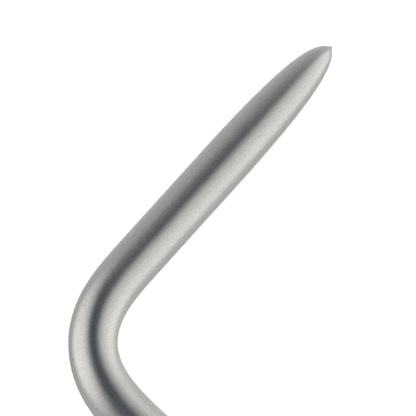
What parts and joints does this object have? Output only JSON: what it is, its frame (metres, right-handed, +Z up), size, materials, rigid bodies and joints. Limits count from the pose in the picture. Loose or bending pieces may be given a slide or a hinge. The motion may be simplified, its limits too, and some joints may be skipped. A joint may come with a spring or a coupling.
{
  "type": "scriber",
  "caption": "Double-ended engineer's scriber: a bent and a straight round-bar point with bullet-shaped tips, each in a collet chuck on a hollow knurled handle.",
  "frame": {"origin": "on the handle's axis, halfway along the handle tube", "axes": "+X along the handle towards the bent point, -X towards the straight point, bent leg along -Y, +Z up from the surface that the tool lies on"},
  "size_m": [0.219, 0.0383, 0.011],
  "materials": {
    "satin_steel": "bead-blasted satin stainless steel with a fine grain",
    "knurled_nickel": "satin nickel plate over a diamond knurl",
    "turned_steel": "fine turned steel with an oiled thread",
    "spring_steel": "hardened spring steel, slightly blued",
    "bronze": "turned bearing bronze",
    "spring_wire": "dark phosphated spring wire",
    "pin_steel": "ground pin end"
  },
  "bodies": {
    "handle": {"handle_tube": "knurled_nickel", "bent_end_chuck_body": "turned_steel", "bent_end_locking_pin": "pin_steel", "straight_end_chuck_body": "turned_steel", "straight_end_locking_pin": "pin_steel"},
    "bent_collet": {"bent_end_collet": "spring_steel"},
    "bent_point": {"bent_point": "satin_steel"},
    "bent_closing_ring": {"bent_end_closing_ring": "bronze"},
    "bent_nut": {"bent_end_chuck_nut": "knurled_nickel", "bent_end_snap_ring": "spring_wire"},
    "straight_collet": {"straight_end_collet": "spring_steel"},
    "straight_point": {"straight_point": "satin_steel"},
    "straight_closing_ring": {"straight_end_closing_ring": "bronze"},
    "straight_nut": {"straight_end_chuck_nut": "knurled_nickel", "straight_end_snap_ring": "spring_wire"}
  },
  "joints": [
    {"name": "bent_point_turn", "type": "hinge", "parent": "handle", "child": "bent_collet", "pos_m": [0.05, 0, 0], "axis": [1, 0, 0], "continuous": true},
    {"name": "bent_point_slide", "type": "slide", "parent": "bent_collet", "child": "bent_point", "axis": [1, 0, 0], "range_m": [-0.029, 0.015]},
    {"name": "bent_nut_travel", "type": "slide", "parent": "handle", "child": "bent_closing_ring", "axis": [1, 0, 0], "range_m": [0, 0.006]},
    {"name": "bent_nut_turn", "type": "hinge", "parent": "bent_closing_ring", "child": "bent_nut", "pos_m": [0.055, 0, 0], "axis": [1, 0, 0], "range_deg": [0, 2881]},
    {"name": "straight_point_turn", "type": "hinge", "parent": "handle", "child": "straight_collet", "pos_m": [-0.05, 0, 0], "axis": [-1, 0, 0], "continuous": true},
    {"name": "straight_point_slide", "type": "slide", "parent": "straight_collet", "child": "straight_point", "axis": [-1, 0, 0], "range_m": [-0.029, 0.015]},
    {"name": "straight_nut_travel", "type": "slide", "parent": "handle", "child": "straight_closing_ring", "axis": [-1, 0, 0], "range_m": [0, 0.006]},
    {"name": "straight_nut_turn", "type": "hinge", "parent": "straight_closing_ring", "child": "straight_nut", "pos_m": [-0.055, 0, 0], "axis": [-1, 0, 0], "range_deg": [0, 2881]}
  ],
  "couplings": [
    {"joint": "bent_nut_turn", "follows": "bent_nut_travel", "rad_per_m": 8377.6},
    {"joint": "straight_nut_turn", "follows": "straight_nut_travel", "rad_per_m": 8377.6}
  ]
}
